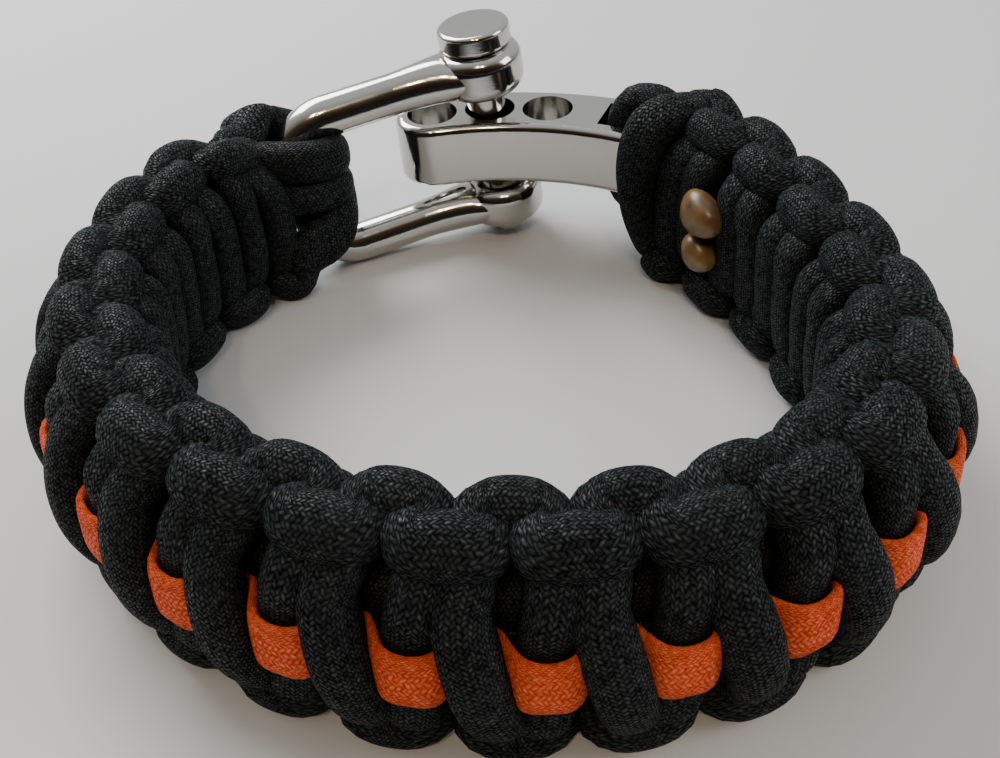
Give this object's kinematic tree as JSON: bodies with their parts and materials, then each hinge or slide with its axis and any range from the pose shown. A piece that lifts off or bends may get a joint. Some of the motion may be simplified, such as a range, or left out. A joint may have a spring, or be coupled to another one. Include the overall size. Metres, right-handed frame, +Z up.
{
  "type": "paracord bracelet",
  "caption": "Woven cord bracelet with a bright centre stripe, closed by a small bow shackle whose screw pin passes a curved three-hole adjuster bar.",
  "frame": {"origin": "centre of the whole bracelet's box, on the surface that it lies on", "axes": "+Z up the axis of the wrist, the plain front of the band towards -Y, the clasp towards +Y"},
  "size_m": [0.0812, 0.075, 0.0255],
  "materials": {
    "dark_cord": "braided nylon sheath, charcoal black",
    "orange_cord": "braided nylon sheath pressed flat, bright orange",
    "melted_nylon": "melted and set nylon, glossy amber brown",
    "steel": "polished stainless steel with fine scratches"
  },
  "bodies": {
    "bracelet": {"outer_working_cord": "dark_cord", "inner_working_cord": "dark_cord", "core_cord": "dark_cord", "centre_stripe": "orange_cord", "upper_melted_end": "melted_nylon", "lower_melted_end": "melted_nylon", "shackle": "steel", "adjuster_bar": "steel"},
    "pin": {"screw_pin": "steel"}
  },
  "joints": [
    {"name": "pin_slide", "type": "slide", "parent": "bracelet", "child": "pin", "axis": [-0.1305, 0, 0.9914], "range_m": [0, 0.017]}
  ]
}
